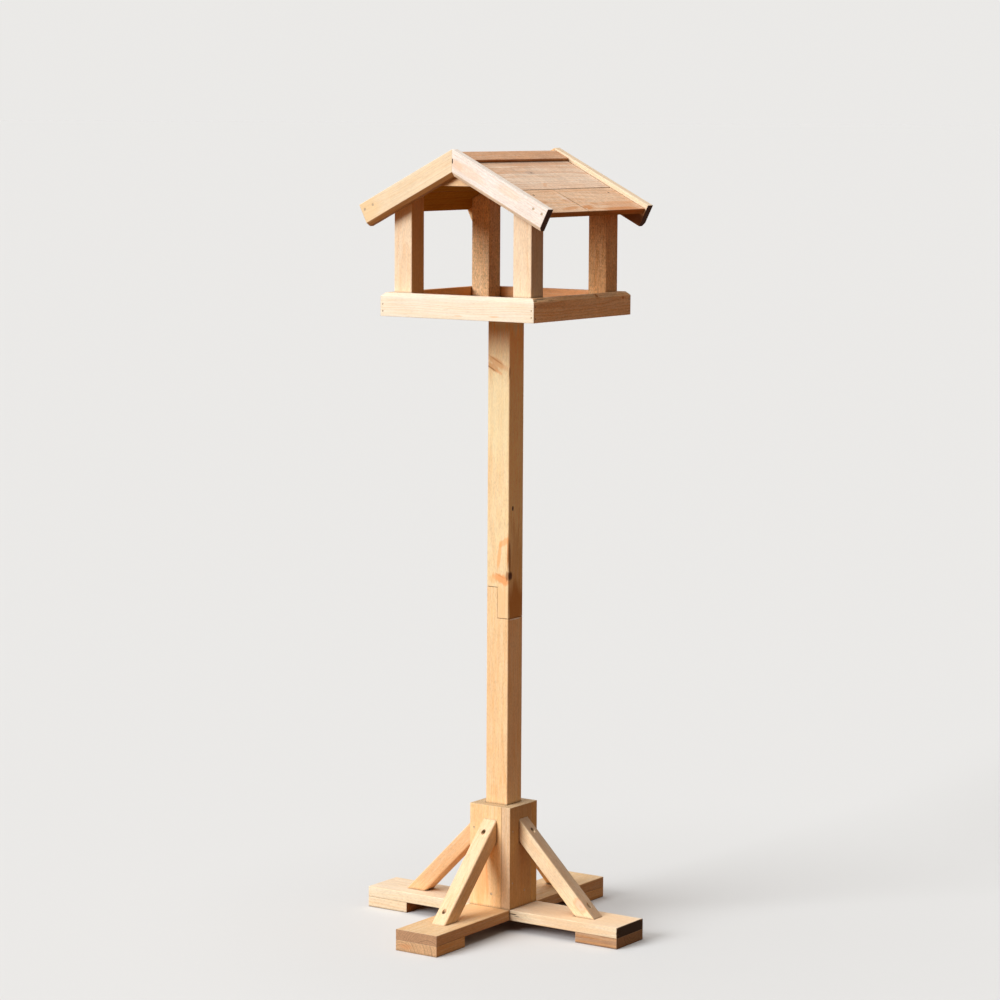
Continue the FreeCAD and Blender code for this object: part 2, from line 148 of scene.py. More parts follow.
halo = put(tree, "Math", {0: halo}, {1: knotForm["haloFade"]}, operation="MULTIPLY")
halo = put(tree, "Math", {0: halo}, operation="EXPONENT")
ringed = put(tree, "Math", {0: reach}, {1: knotForm["rings"]}, operation="MULTIPLY")
ringed = put(tree, "Math", {0: ringed}, operation="FRACT")
for name, value in (("Wood", plug), ("Rim", rim), ("Halo", halo), ("Rings", ringed)):
    tree.links.new(value, made[name])

# What one board can be told. Colours are of planed, unfinished pine outdoors for a
# season: cream spring wood, tan summer wood, orange resin and knots, brown cut ends.
pine = {
    "spring": "F8D5A0", "summer": "E3A968", "warm": "F1BC80", "warmShare": 0.5,
    "cutEnd": "B98450", "resin": "E9924C", "resinShare": 0.45, "knot": "CB8442", "knotRim": "7E4522",
    "knotRimShare": 0.6, "duct": "A8672F", "ductShare": 0.3, "grime": "9A7B5C", "grimeShare": 0.12,
    # the dark corner colour and its share paint shade into the corners where boards meet
    "cornerShadeColour": "4E2F18", "jointShade": 0.65, "rubbed": "FBE8C8", "rubbedShare": 0.32,
    "shine": 0.15,           # open grain hardly shines
    "ringWidth": 3.4,        # mm between summer rings
    "ringShare": 0.25, "fibreShare": 0.7, "streakShare": 0.12,
    "roughness": 0.6, "ior": 1.5, "bumpMm": 0.12,
    "sawnMm": 0.0,           # depth of saw marks, 0 where planed
    "flecks": 0.13,          # how dark the torn fibres are, more on a rough face
    "flecksPerMm": 0.65,
    "edgeMm": 1.6,           # how far the arrises are eased
    # the under tone and the tones by facing are painted light and shade, with some of the wood's own tone in
    # them
    "underShadeTone": (0.77, 0.67, 0.56),
    "lightAndShadeTones": [],             # each: a facing, and what the colour is multiplied by on faces turned that way
    "seed": 1.0,
    "pith": (0.0, -34.0),    # mm from the board's middle: across, and into its depth
    "knots": [],             # each: point and radius in mm
    "stainsAndPaintedLight": [],            # stains, painted light and painted shade, each: point, half sizes across, deep and along in mm, lean, share, colour
}

# Noise in the wood, drawn out along the grain. Each: how much slower it changes along
# the grain, its scale, the part of its range that counts, and its own seed.
fields = {
    # fibres are drawn about 2 mm wide, several times too coarse, or they would not show
    "fibre": {"along": 0.05, "scale": 0.5, "detail": 5.0, "rough": 0.7, "span": (0.32, 0.68), "seed": 7},
    "streak": {"along": 0.03, "scale": 0.26, "detail": 3.0, "rough": 0.6, "span": (0.3, 0.7), "seed": 13},
    "duct": {"along": 0.1, "scale": 0.6, "detail": 2.0, "rough": 0.5, "span": (0.64, 0.76), "seed": 11},
    "cloud": {"along": 0.12, "scale": 0.045, "detail": 3.0, "rough": 0.55, "span": (0.35, 0.72), "seed": 3},
    "torn": {"along": 0.3, "detail": 3.0, "rough": 0.6, "span": (0.36, 0.6), "seed": 9},
    "tornEnd": {"along": 1.0, "scale": 0.7, "detail": 3.0, "rough": 0.7, "span": (0.35, 0.6), "seed": 15},
    "grime": {"along": 1.0, "scale": 22.0, "detail": 5.0, "rough": 0.62, "span": (0.42, 0.75), "seed": 5},
    "ruffle": {"along": 0.05, "scale": 0.3, "detail": 3.0, "rough": 0.5, "span": (0.25, 0.75), "seed": 1},
    "blade": {"along": 1.0, "across": 0.12, "scale": 0.45, "detail": 3.0, "rough": 0.5,
              "span": (0.0, 1.0), "seed": 2},
}

# How strongly each mark acts, the same for all boards
marks = {
    "knotPush": 0.32,              # how many rings a knot pushes aside, for each mm of its radius
    "knotRings": (0.85, 1.15),     # tones of the rings in a knot
    "darkFibre": 0.45, "paleFibre": 0.25, "paleStreak": 0.6, "paleFleck": 0.25,
    "endRings": (1.1, 0.66), "endTorn": (0.7, 1.1),        # tones of a cut end's rings and torn patches
    "ruffle": (0.6, 1.4), "markEdge": (0.55, 1.15),       # shares of a mark's size
    "cornerShadeReachMm": 5.0, "cornerShadeOpen": (0.35, 0.9),           # how open a corner is where the painted corner shade thins out
    "rubbedLeast": 0.4, "sawnSpan": (0.3, 0.7), "sawnTone": (0.88, 1.06),
    "ringRelief": 0.5, "relief": 0.8, "roughFibre": 0.08, "smoothFibre": 0.06,
    "rays": 6,                     # how many feel for a corner or an edge
}
# facings whose cosine is above these belong to a tone, a cut end or a worn arris
turnedTo = {"tone": (0.7, 0.88), "cutEnd": (0.6, 0.9), "arris": (0.985, 0.8)}


def field(tree, look, place, name, low=0.0, high=1.0, **changes):
    # one of the noises, its span spread from low to high
    form = dict(fields[name], **changes)
    squeeze = (form.get("across", 1.0), form.get("across", 1.0), form["along"])
    drawn = put(tree, "VectorMath", {0: place}, {1: squeeze}, operation="MULTIPLY")
    noise = put(tree, "TexNoise", {"Vector": drawn},
                {"W": look["seed"] + form["seed"], "Scale": form["scale"], "Detail": form["detail"],
                 "Roughness": form["rough"]}, noise_dimensions="4D").outputs["Fac"]
    return put(tree, "MapRange", {"Value": noise},
               {"From Min": form["span"][0], "From Max": form["span"][1], "To Min": low, "To Max": high})


def turnedShare(tree, facing, way, high=1.0):
    # high on faces turned that way, 0 on the others
    cosine = put(tree, "VectorMath", {0: facing}, {1: way}, operation="DOT_PRODUCT")
    return put(tree, "MapRange", {"Value": cosine},
               {"From Min": turnedTo["tone"][0], "From Max": turnedTo["tone"][1], "To Max": high})


def grownRings(tree, look, local, toBoard):
    # knots come first, because they bend the rings
    feeds = {"Place": local}
    knots = []
    for i, (point, size) in enumerate(look["knots"]):
        knot = put(tree, "Group", {"Place": local},
                   {"Centre": toBoard(point), "Size": size, "Seed": look["seed"] + i}, node_tree=knotGroup)
        bend = put(tree, "Math", {0: knot.outputs["Halo"]}, {1: size * marks["knotPush"]},
                   operation="MULTIPLY")
        if knots:
            bend = put(tree, "Math", {0: feeds["Bend"], 1: bend}, operation="ADD")
        feeds["Bend"] = bend
        knots.append(knot)
    values = {"Seed": look["seed"], "Width": look["ringWidth"]}
    return put(tree, "Group", feeds, values, node_tree=ringGroup), knots


def planedWood(tree, look, local, ring, fibre):
    # spring wood in two tones, summer rings, fibres, streaks and the short dashes of resin ducts
    cloud = field(tree, look, local, "cloud", high=look["warmShare"])
    colour = put(tree, "Mix", {0: cloud}, {6: linear(look["spring"]), 7: linear(look["warm"])},
                 data_type="RGBA")
    summer = put(tree, "Math", {0: ring}, {1: look["ringShare"]}, operation="MULTIPLY")
    colour = put(tree, "Mix", {0: summer, 6: colour}, {7: linear(look["summer"])}, data_type="RGBA")
    # dark fibres are oranger too, which a gamma gives and a plain scale would not
    shade = put(tree, "MapRange", {"Value": fibre},
                {"To Min": 1.0 + marks["darkFibre"] * look["fibreShare"],
                 "To Max": 1.0 - marks["paleFibre"] * look["fibreShare"]})
    streak = field(tree, look, local, "streak", 1.0 + look["streakShare"],
                   1.0 - marks["paleStreak"] * look["streakShare"])
    shade = put(tree, "Math", {0: shade, 1: streak}, operation="MULTIPLY")
    colour = put(tree, "Gamma", {"Color": colour, "Gamma": shade})
    duct = put(tree, "Math", {0: field(tree, look, local, "duct")}, {1: look["ductShare"]},
               operation="MULTIPLY")
    return put(tree, "Mix", {0: duct, 6: colour}, {7: linear(look["duct"])}, data_type="RGBA")


def knotted(tree, look, colour, knots):
    # resin round each knot, then its ringed heart and its dark rim
    for knot in knots:
        around = put(tree, "Math", {0: knot.outputs["Halo"]}, {1: look["resinShare"]}, operation="MULTIPLY")
        colour = put(tree, "Mix", {0: around, 6: colour}, {7: linear(look["resin"])}, data_type="RGBA")
        inner = put(tree, "MapRange", {"Value": knot.outputs["Rings"]},
                    {"To Min": marks["knotRings"][0], "To Max": marks["knotRings"][1]})
        heart = put(tree, "VectorMath", {"Scale": inner}, {0: linear(look["knot"])[:3]}, operation="SCALE")
        colour = put(tree, "Mix", {0: knot.outputs["Wood"], 6: colour, 7: heart}, data_type="RGBA")
        edge = put(tree, "Math", {0: knot.outputs["Rim"]}, {1: look["knotRimShare"]}, operation="MULTIPLY")
        colour = put(tree, "Mix", {0: edge, 6: colour}, {7: linear(look["knotRim"])}, data_type="RGBA")
    return colour


def cutEnds(tree, look, colour, local, ring, facing, grain):
    # cut ends drink in more dirt, show their rings harder and are torn by the saw
    ending = put(tree, "VectorMath", {0: facing}, {1: grain}, operation="DOT_PRODUCT")
    ending = put(tree, "Math", {0: ending}, operation="ABSOLUTE")
    ending = put(tree, "MapRange", {"Value": ending},
                 {"From Min": turnedTo["cutEnd"][0], "From Max": turnedTo["cutEnd"][1]})
    tone = put(tree, "MapRange", {"Value": ring},
               {"To Min": marks["endRings"][0], "To Max": marks["endRings"][1]})
    torn = field(tree, look, local, "tornEnd", *marks["endTorn"])
    tone = put(tree, "Math", {0: tone, 1: torn}, operation="MULTIPLY")
    endWood = put(tree, "VectorMath", {"Scale": tone}, {0: linear(look["cutEnd"])[:3]}, operation="SCALE")
    return put(tree, "Mix", {0: ending, 6: colour, 7: endWood}, data_type="RGBA")


def weatheredAndShaded(tree, look, colour, where, facing):
    # handling and weather leave a thin grey brown film in patches that run on over the joints
    patches = field(tree, look, where, "grime", high=look["grimeShare"])
    colour = put(tree, "Mix", {0: patches, 6: colour}, {7: linear(look["grime"])}, data_type="RGBA")
    # faces turned down are painted darker and oranger, as painted shade, and some boards
    # have painted light and shade of their own on other sides
    for way, tone in [(-up, look["underShadeTone"])] + look["lightAndShadeTones"]:
        turned = turnedShare(tree, facing, Vector(way).normalized())
        toned = put(tree, "VectorMath", {0: colour}, {1: tone}, operation="MULTIPLY")
        colour = put(tree, "Mix", {0: turned, 6: colour, 7: toned}, data_type="RGBA")
    return colour


def stainedAndPainted(tree, look, colour, local, toBoard):
    # stains, and marks of painted light and shade, at their own places on the object, with edges ruffled
    # along the grain
    ruffle = field(tree, look, local, "ruffle", *marks["ruffle"])
    for point, sizes, lean, share, markColour in look["stainsAndPaintedLight"]:
        lay = put(tree, "Mapping", {"Vector": local},
                  {"Location": toBoard(point), "Scale": sizes, "Rotation": (0, math.radians(lean), 0)},
                  vector_type="TEXTURE")
        reach = put(tree, "VectorMath", {0: lay}, operation="LENGTH")
        reach = put(tree, "Math", {0: reach, 1: ruffle}, operation="MULTIPLY")
        markShare = put(tree, "MapRange", {"Value": reach},
                    {"From Min": marks["markEdge"][0], "From Max": marks["markEdge"][1],
                     "To Min": share, "To Max": 0.0}, interpolation_type="SMOOTHSTEP")
        colour = put(tree, "Mix", {0: markShare, 6: colour}, {7: linear(markColour)}, data_type="RGBA")
    return colour


def shadedAndWorn(tree, look, colour, fibre, facing, rounded):
    # corners where boards meet are painted darker as painted shade, found by ambient occlusion, and rubbed
    # edges stay pale
    corner = put(tree, "AmbientOcclusion", values={"Distance": marks["cornerShadeReachMm"] * mm},
                 samples=marks["rays"]).outputs["AO"]
    corner = put(tree, "MapRange", {"Value": corner},
                 {"From Min": marks["cornerShadeOpen"][0], "From Max": marks["cornerShadeOpen"][1],
                  "To Min": look["jointShade"], "To Max": 0.0})
    colour = put(tree, "Mix", {0: corner, 6: colour}, {7: linear(look["cornerShadeColour"])}, data_type="RGBA")
    arris = put(tree, "VectorMath", {0: rounded, 1: facing}, operation="DOT_PRODUCT")
    arris = put(tree, "MapRange", {"Value": arris},
                {"From Min": turnedTo["arris"][0], "From Max": turnedTo["arris"][1],
                 "To Max": look["rubbedShare"]})
    patchy = put(tree, "MapRange", {"Value": fibre}, {"To Min": marks["rubbedLeast"]})
    arris = put(tree, "Math", {0: arris, 1: patchy}, operation="MULTIPLY")
    return put(tree, "Mix", {0: arris, 6: colour}, {7: linear(look["rubbed"])}, data_type="RGBA")


def pineBoard(name, middle, depth, grain, **changes):
    look = dict(pine, **changes)
    material = bpy.data.materials.new(name)
    material.use_nodes = True
    tree = material.node_tree
    shader = tree.nodes["Principled BSDF"]
    depth = Vector(depth).normalized()
    grain = Vector(grain).normalized()
    across = depth.cross(grain)
    turn = Matrix((across, depth, grain)).transposed()
    pithPoint = Vector(middle) + (across * look["pith"][0] + depth * look["pith"][1]) * mm

    def toBoard(pointMm):
        return turn.transposed() @ (Vector(pointMm) - pithPoint / mm)

    where = put(tree, "TexCoord").outputs["Object"]
    local = put(tree, "Mapping", {"Vector": where},
                {"Location": pithPoint, "Rotation": turn.to_euler(), "Scale": (mm, mm, mm)},
                vector_type="TEXTURE")
    facing = put(tree, "NewGeometry").outputs["True Normal"]
    rounded = put(tree, "Bevel", values={"Radius": look["edgeMm"] * mm}, samples=marks["rays"])
    fibre = field(tree, look, local, "fibre")
    ring, knots = grownRings(tree, look, local, toBoard)

    colour = planedWood(tree, look, local, ring, fibre)
    colour = knotted(tree, look, colour, knots)
    torn = field(tree, look, local, "torn", 1.0 - look["flecks"], 1.0 + marks["paleFleck"] * look["flecks"],
                 scale=look["flecksPerMm"])
    colour = put(tree, "VectorMath", {0: colour, "Scale": torn}, operation="SCALE")
    colour = cutEnds(tree, look, colour, local, ring, facing, grain)
    colour = weatheredAndShaded(tree, look, colour, where, facing)
    colour = stainedAndPainted(tree, look, colour, local, toBoard)
    colour = shadedAndWorn(tree, look, colour, fibre, facing, rounded)

    # relief in millimetres: hard rings stand proud, fibres lift, the saw leaves its marks
    height = put(tree, "Math", {0: ring}, {1: marks["ringRelief"] * look["bumpMm"]}, operation="MULTIPLY")
    height = put(tree, "Math", {0: fibre, 2: height}, {1: look["bumpMm"]}, operation="MULTIPLY_ADD")
    if look["sawnMm"]:
        blade = field(tree, look, local, "blade")
        height = put(tree, "Math", {0: blade, 2: height}, {1: look["sawnMm"]}, operation="MULTIPLY_ADD")
        cut = put(tree, "MapRange", {"Value": blade},
                  {"From Min": marks["sawnSpan"][0], "From Max": marks["sawnSpan"][1],
                   "To Min": marks["sawnTone"][0], "To Max": marks["sawnTone"][1]})
        colour = put(tree, "VectorMath", {0: colour, "Scale": cut}, operation="SCALE")
    bump = put(tree, "Bump", {"Height": height, "Normal": rounded},
               {"Strength": marks["relief"], "Distance": mm})
    rough = put(tree, "MapRange", {"Value": fibre},
                {"To Min": look["roughness"] + marks["roughFibre"],
                 "To Max": look["roughness"] - marks["smoothFibre"]})
    tree.links.new(colour, shader.inputs["Base Color"])
    tree.links.new(bump, shader.inputs["Normal"])
    tree.links.new(rough, shader.inputs["Roughness"])
    shader.inputs["IOR"].default_value = look["ior"]
    shader.inputs["Specular IOR Level"].default_value = look["shine"]
    return material


def dress(node, material):
    piece = nodes[node]
    piece.data.materials.clear()
    piece.data.materials.append(material)


def dressBoard(node, depth, grain, seed, *looks):
    # a later look changes what an earlier one says
    changes = {"seed": seed}
    for look in looks:
        changes.update(look)
    low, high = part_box(node)
    dress(node, pineBoard(node + "_pine", (low + high) / 2, depth, grain, **changes))


# each board is cut from a tree of its own; a set of boards counts up from these
seeds = {"legLeftRight": 2.3, "legFrontBack": 4.1, "footPad": 20.0, "socketBoard": 30.0, "brace": 40.0,
         "rail": 60.0, "bearer": 70.0, "floorBoard": 75.0, "housePost": 80.0, "bargeboard": 85.0,
         "gusset": 96.0, "roof": 100.0}

# Base: planed boards
# the legs' tones on tops and right sides are painted light and shade
legs = {"left_right": {"spring": "FAEACA", "warm": "F4D2A4", "warmShare": 0.3, "pith": (14, -38),
                       "ringWidth": 3.0, "shine": 0.06, "lightAndShadeTones": [(up, (0.95, 0.9, 0.93))],
                       "stainsAndPaintedLight": [((160, 0, 27), (70, 40, 130), 0, 0.5, "EDC190"),
                                  ((257, 0, 27), (60, 30, 1.4), 0, 0.97, "281503"),    # the near-black end: dark end grain, painted darker as shade
                                  ((49, -41, 30), (2, 1.1, 9), 2, 0.95, "3A220E"),     # splits by the halving
                                  ((56, -41, 27), (2, 0.8, 9), -3, 0.85, "4A2C14")]},
        "front_back": {"spring": "E9C190", "warm": "DDAA72", "cutEnd": "B78E6A", "pith": (-22, -30),
                       "ringWidth": 3.0,
                       "lightAndShadeTones": [(up, (1.0, 1.1, 1.26)), (right, (0.9, 0.86, 0.86))],
                       # a paler patch by the box: painted light that offsets the painted corner shade there
                       "stainsAndPaintedLight": [((0, -75, 36), (60, 4, 50), 0, 0.5, "F8C78C")]}}
dressBoard("leg_left_right", up, right, seeds["legLeftRight"], legs["left_right"])
dressBoard("leg_front_back", up, back, seeds["legFrontBack"], legs["front_back"])
foot = {"front": {"spring": "EDBE84", "cutEnd": "D2A87C", "pith": (-30, -14),
                  "stainsAndPaintedLight": [((-22, -257, 9), (16, 5, 4), 0, 0.4, "D08A54")]},
        "right": {"spring": "C49E7C", "warm": "B98E68", "cutEnd": "987048", "pith": (10, 18)},
        "back": {"spring": "F0C086", "cutEnd": "C9925C", "pith": (18, -24)},
        "left": {"spring": "FAEACA", "warm": "F4D2A4", "cutEnd": "CB9660", "ringShare": 0.25,
                 "pith": (-8, -28)}}
footPine = {"ringWidth": 3.8, "ringShare": 0.5}
socketPine = {"cutEnd": "CEAF86"}
bracePine = {"ringWidth": 2.6, "edgeMm": 2.6}
# the streak and patch beside the front brace are painted shadow of the brace over orange wood, and the
# right-side tones are painted shade
socketBoard = {"front": {"spring": "FBDAA6", "warm": "F6C28C", "warmShare": 0.6, "pith": (6, -30),
                         "streakShare": 0.06, "ringShare": 0.15,
                         "stainsAndPaintedLight": [((-5.5, -41, 85), (3, 6, 42), 2, 0.6, "F0A05A"),
                                    ((-20, -41, 76), (16, 8, 50), 0, 0.5, "F2A868")]},
               "right": {"spring": "E8C9A2", "warm": "E2BA90", "pith": (-9, -34), "streakShare": 0.06,
                         "ringShare": 0.15, "lightAndShadeTones": [(right, (0.78, 0.64, 0.44))]},
               "back": {"spring": "F6CD94", "pith": (12, -28), "lightAndShadeTones": [(right, (0.8, 0.74, 0.6))]},
               "left": {"spring": "F4C88C", "pith": (-3, -36)}}
# the braces' tones on right, upper right and under sides are painted shade
brace = {"front": {"spring": "F6D4AC", "warm": "F2C898", "warmShare": 0.3, "pith": (4, -26),
                   "lightAndShadeTones": [(right, (0.9, 0.85, 0.75))]},
         "right": {"spring": "FCE4BE", "warm": "F8CD9C", "pith": (-6, -30), "grimeShare": 0.2,
                   "lightAndShadeTones": [(right + up, (0.64, 0.58, 0.58))],
                   "stainsAndPaintedLight": [((156, -14, 82), (3, 6, 24), 0, 0.6, "F29C54"),
                              ((166, -14, 57), (3, 12, 17), 0, 0.62, "EE9C58"),        # a pale knot in resin
                              ((166, -14, 57), (3, 9, 13), 0, 0.75, "F9D2B4"),
                              ((168, -14, 55), (3, 3, 4), 0, 0.5, "F0AE80")]},
         "back": {"spring": "F5CB90", "pith": (9, -24)},
         "left": {"spring": "F2C89A", "warm": "ECB278", "pith": (-8, -33), "underShadeTone": (1.0, 0.82, 0.6)}}
for i, side in enumerate(outward):
    out = outward[side]
    dressBoard("foot_pad_" + side, up, out, seeds["footPad"] + i, footPine, foot[side])
    dressBoard("socket_board_" + side, out, up, seeds["socketBoard"] + i, socketPine, socketBoard[side])
    dressBoard("brace_" + side, out + up, up - out, seeds["brace"] + i, bracePine, brace[side])
print("base dressed")

# Post: the upper length has a slanting spike knot under the tray and a knot at the lap
lower = {"seed": 51.0, "pith": (9, -40), "spring": "FBD8A7", "warm": "F6C48F", "warmShare": 0.6,
         "rubbed": "F2B27A",
         "stainsAndPaintedLight": [((22, 2, 531.6), (3, 20, 1.1), 0, 0.85, "FFFDF6")]}       # a painted highlight along the shoulder
# the upper length's right side is painted lighter, and the pale greenish patch at its top is painted light in
# the tray's shadow
upper = {"seed": 53.0, "pith": (-5, -36), "spring": "FEE7BA", "warm": "F9D4A0", "rubbed": "F2B27A",
         "shine": 0.08, "lightAndShadeTones": [(right, (1.12, 1.15, 1.1))],
         "stainsAndPaintedLight": [((22, 0, 560), (3, 26, 150), 0, 0.5, "CE9850"),
                    ((0, 0, 1046), (40, 40, 34), 0, 0.85, "E9F4DE"),
                    ((0, -22, 882), (30, 5, 90), 0, 0.3, "FFF6C4"),
                    ((10, -22, 552), (16, 5, 42), 0, 0.6, "F8C890"),
                    ((-4, -22, 969), (7.2, 5, 25), 62, 0.6, "E4A66A"),       # the spike knot's two arms
                    ((-6, -22, 973), (1.3, 5, 20), 62, 0.6, "C07C40"),
                    ((-13, -22, 961), (6.2, 5, 17), 62, 0.6, "D9985C"),
                    ((-15, -22, 959), (1.5, 5, 11), 62, 0.7, "96602C"),
                    ((0, -22, 953), (2.6, 5, 9), 60, 0.45, "F0A66C"),
                    ((22, -21, 952), (1.6, 2.4, 13), 0, 0.6, "7E4E26"),
                    ((8, -22, 601), (8.4, 5, 20), 68, 0.75, "F2A05C"),       # resin round the lap's knot
                    ((4, -22, 607), (1.5, 5, 10), 68, 0.5, "E08842"),
                    ((-10, -22, 600), (8, 5, 10), 60, 0.35, "F2AE62"),
                    ((12, -22, 664), (5.4, 4, 13), -52, 0.62, "F4AC68"),
                    ((3, -22, 640), (4.0, 4, 28), -8, 0.62, "F4AC68"),
                    ((21, -22, 650), (2.0, 3, 30), 0, 0.6, "E89650"),
                    ((22, 0, 556), (3, 26, 46), 0, 0.85, "C08038"),
                    ((22, -19, 640), (3, 4.2, 36), 0, 0.65, "8A4C18"),
                    ((21, -22, 607), (5, 5, 8.5), 0, 0.7, "8E4818"),         # the knot, on the arris
                    ((22, -16, 607), (3, 6.5, 8.5), 0, 0.95, "4A1E06"),
                    # a pin hole, painted near-black: the shade inside it
                    ((22, -9.7, 721.7), (2, 2.6, 4.4), 0, 1.0, "140B05")]}
postMiddle = (0, 0, 0.6)          # both lengths measure their grain from here
dress("post_lower", pineBoard("post_lower_pine", postMiddle, front, up, **lower))
dress("post_upper", pineBoard("post_upper_pine", postMiddle, front, up, **upper))
print("post dressed")

# Tray
# the front rail's tone on its bevel is painted shade
rail = {"front": {"spring": "FBF0DA", "warm": "F7E3BC", "summer": "F0BE84", "warmShare": 0.4,
                  "pith": (46, -14), "ringShare": 0.4, "ringWidth": 4.0, "flecks": 0.07,
                  "lightAndShadeTones": [(front + up, (0.94, 0.91, 0.92))],
                  "stainsAndPaintedLight": [((76, -148, 1055), (2, 4, 12), 0, 0.45, "F0B070"),
                             ((4, -148, 1054), (2, 4, 7), 0, 0.35, "F0B070")]},
        "right": {"spring": "F4CE9F", "summer": "D29259", "pith": (10, -14), "ringShare": 0.6,
                  "ringWidth": 2.8, "grimeShare": 0.2, "flecks": 0.2,
                  "stainsAndPaintedLight": [((150, -124, 1085.5), (1.5, 8, 16), 0, 0.75, "6A5646"),    # rain on the bevel
                             ((150, -141, 1083), (1.2, 8, 8), 0, 0.75, "5A463A"),
                             ((150, -96, 1082), (0.9, 8, 14), 0, 0.5, "7A5A42")],
                  "knots": [((152, 45, 1084), 2.2), ((153, 124, 1077), 1.8)]},
        "back": {"spring": "F0B988", "warm": "E9A470", "pith": (34, -14)},
        "left": {"spring": "F0BC84", "warm": "E09A5C", "pith": (22, -14)}}
# the tray's underside gets less painted shade than other undersides
bearerPine = {"spring": "F2CDA0", "underShadeTone": (0.84, 0.84, 0.84)}
bearer = {"left": {"pith": (0, -20)}, "middle": {"pith": (4, -20)}, "right": {"pith": (8, -20)}}
floorPine = {"spring": "F3C890", "grimeShare": 0.25, "underShadeTone": (0.84, 0.84, 0.84)}
floorBoard = {"1": {"pith": (-12, -30)}, "2": {"pith": (-3, -30)}, "3": {"pith": (6, -30)}}
for i, side in enumerate(outward):
    out = outward[side]
    dressBoard("tray_rail_" + side, out, up.cross(out), seeds["rail"] + i, rail[side])
for i, side in enumerate(bearer):
    dressBoard("tray_bearer_" + side, -up, back, seeds["bearer"] + i, bearerPine, bearer[side])
for i, number in enumerate(floorBoard):
    dressBoard("floor_board_" + number, up, right, seeds["floorBoard"] + i, floorPine, floorBoard[number])
print("tray dressed")

# House: smooth posts in front, rough sawn ones behind
slope = math.radians(26.6)
smoothPost = {"spring": "FDE6C5", "warm": "FBD8B0", "ringShare": 0.22, "ringWidth": 5.0}
sawnPost = {"cutEnd": "A87040", "sawnMm": 0.08, "flecks": 0.42, "flecksPerMm": 0.95}
housePine = {"front": smoothPost, "back": sawnPost}
# the right-side tones are painted shade, lighter again on the back right post, whose own colours are darkened
# as painted shade of the roof; the back left post is paler as painted light
housePost = {"front_left": {"pith": (-7, -28), "lightAndShadeTones": [(right, (0.65, 0.46, 0.28))]},
             "front_right": {"pith": (7, -28), "lightAndShadeTones": [(right, (0.66, 0.65, 0.65))]},
             "back_left": {"spring": "FEDCB0", "warm": "F8C690", "pith": (-7, -28),
                           "lightAndShadeTones": [(right, (0.75, 0.67, 0.6))]},
             "back_right": {"spring": "DDAE7C", "warm": "CE9660", "pith": (7, -28),
                            "lightAndShadeTones": [(right, (1.2, 1.27, 1.28))]}}
# the way that each bargeboard's lower edge faces
lowerEdge = {"left": right * math.sin(slope) - up * math.cos(slope),
             "right": left * math.sin(slope) - up * math.cos(slope)}
# on the front bargeboards the tones of the lower edges and under sides are painted shade, lighter on the
# front right one, and the back right one's dark patch is painted shade on its inner face
verge = {"front_left": {"spring": "FBE9C8", "warm": "F3D1A2", "warmShare": 0.5, "flecks": 0.07,
                        "underShadeTone": (0.42, 0.29, 0.18),
                        "lightAndShadeTones": [(front + lowerEdge["left"], (0.55, 0.36, 0.2))],
                        "stainsAndPaintedLight": [((-172, -161, 1222), (26, 5, 30), 0, 0.5, "F1CC92")]},
         "front_right": {"spring": "FDF4EA", "summer": "F2C8A4", "warm": "FAEAD6", "warmShare": 0.45,
                         "ringShare": 0.35, "ringWidth": 4.2,
                         "lightAndShadeTones": [(front + lowerEdge["right"], (1.12, 1.05, 0.86))],
                         "stainsAndPaintedLight": [((9, -161, 1300), (8, 4, 15), 0, 0.34, "F2BC88"),
                                    ((34, -161, 1290), (10, 4, 40), 0, 0.28, "F6C692"),
                                    ((112, -161, 1258), (8, 4, 30), 0, 0.3, "F6CE9E")]},
         "back_left": {"spring": "F2C894"},
         "back_right": {"spring": "FBE6C8", "warm": "F4D2AC", "warmShare": 0.3,
                        "stainsAndPaintedLight": [((160, 145, 1215), (13, 3, 45), 0, 0.8, "6E3A1C")]}}
# the near-black cut ends and the under tone are painted shade on dark end grain
vergePine = {"cutEnd": "43240F", "pith": (38, -16), "shine": 0.05, "jointShade": 0.06,
             "underShadeTone": (0.6, 0.44, 0.3)}
gussetPine = {"spring": "FBDDB2", "pith": (0, -20)}
for i, corner in enumerate(housePost):
    end, side = corner.split("_")
    dressBoard("house_post_" + corner, outward[end], up, seeds["housePost"] + i, housePine[end],
               housePost[corner])
    downhill = outward[side] * math.cos(slope) - up * math.sin(slope)
    dressBoard("bargeboard_" + corner, outward[end], downhill, seeds["bargeboard"] + i, vergePine,
               verge[corner])
for i, end in enumerate(housePine):
    dressBoard("gusset_" + end, outward[end], right, seeds["gusset"] + i, gussetPine)

# Roof: weathered boards with dark lines where they meet; the line along the bargeboards is painted shadow in
# the gap
eaveWay = right * math.cos(slope) - up * math.sin(slope)
# the roof's under tone and the tones of eave edges and ridge strips are painted shade
roofPine = {"spring": "FEE8D0", "summer": "E6B28A", "warm": "F7CEAC", "cutEnd": "8C5E38", "grime": "A58C78",
            "grimeShare": 0.25, "ringWidth": 3.8, "ringShare": 0.7, "streakShare": 0.24, "flecks": 0.16,
            "sawnMm": 0.06, "shine": 0.0, "underShadeTone": (0.57, 0.46, 0.16),
            "lightAndShadeTones": [(eaveWay, (0.55, 0.45, 0.3))]}
eavePine = {"spring": "FAD8B7", "warm": "F1C095"}
ridgePine = {"spring": "EABF9C", "warm": "D6A47E", "lightAndShadeTones": [(eaveWay, (0.8, 0.66, 0.5))]}
roofSets = {"roof": {}, "eave": eavePine, "ridge": ridgePine}
seam = ((152.9, -31.5, 1240), (44, 6, 1.3), 3.6, 0.9, "744628")
